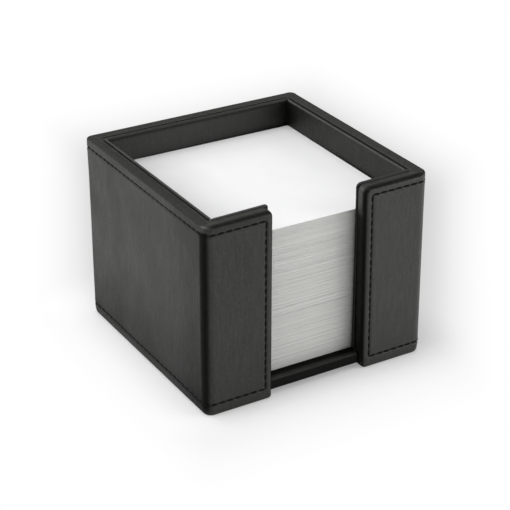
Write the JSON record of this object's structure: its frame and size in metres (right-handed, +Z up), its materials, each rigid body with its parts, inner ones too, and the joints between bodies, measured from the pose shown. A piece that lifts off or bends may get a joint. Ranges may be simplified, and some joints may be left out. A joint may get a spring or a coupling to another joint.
{
  "type": "memo pad holder",
  "caption": "Square black leather desk holder for loose note sheets, open at the top, with a full-height finger slot between two stitched front flaps.",
  "frame": {"origin": "centre of the underside, on the surface that the holder stands on", "axes": "+Z up, -Y towards the finger slot at the front, +X to the right seen from the front"},
  "size_m": [0.106, 0.106, 0.0854],
  "materials": {
    "band_leather": "black, fine grain, semi-matt",
    "lining_leather": "black, smooth, matt",
    "floor_leather": "black, smooth, semi-matt",
    "board": "grey-brown bookbinder's board",
    "card": "plain card",
    "felt": "black felt",
    "paper": "white, uncoated, cut edges"
  },
  "bodies": {
    "root": {"outer_band": "band_leather", "left_lining": "lining_leather", "right_lining": "lining_leather", "back_lining": "lining_leather", "left_flap_lining": "lining_leather", "right_flap_lining": "lining_leather", "floor_leather": "floor_leather", "base_felt": "felt", "note_stack": "paper", "left_wall_board": "board", "right_wall_board": "board", "back_wall_board": "board", "left_flap_board": "board", "right_flap_board": "board", "floor_board": "board", "left_lining_card": "card", "right_lining_card": "card", "back_lining_card": "card", "left_flap_lining_card": "card", "right_flap_lining_card": "card", "under_card": "card"}
  },
  "joints": []
}
